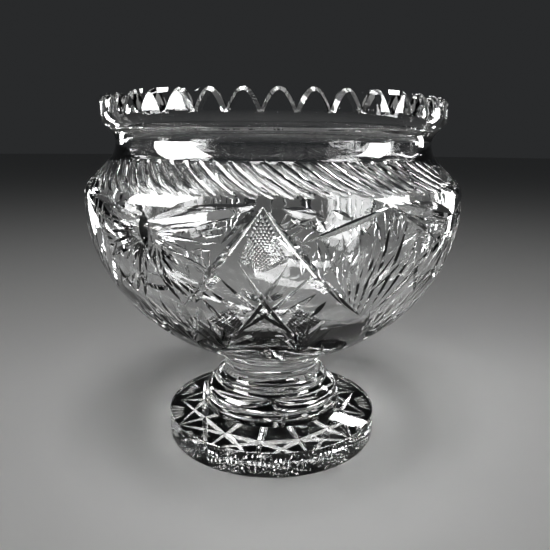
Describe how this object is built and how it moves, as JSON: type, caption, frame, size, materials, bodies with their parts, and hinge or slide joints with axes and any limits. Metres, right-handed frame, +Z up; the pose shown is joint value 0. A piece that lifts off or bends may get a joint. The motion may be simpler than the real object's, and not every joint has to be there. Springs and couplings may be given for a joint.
{
  "type": "punch bowl",
  "caption": "Footed cut-crystal punch bowl with a scalloped rim, slanting shoulder flutes, mitre-cut panels, a short solid stem and a star-cut round foot.",
  "frame": {"origin": "centre of the foot's underside, on the surface the bowl stands on", "axes": "+Z up along the bowl's axis; -Y is the front"},
  "size_m": [0.3, 0.3, 0.2815],
  "materials": {
    "crystal": "polished, cut"
  },
  "bodies": {
    "root": {"bowl": "crystal", "merese": "crystal", "stem": "crystal", "foot_collar": "crystal", "foot": "crystal"}
  },
  "joints": []
}
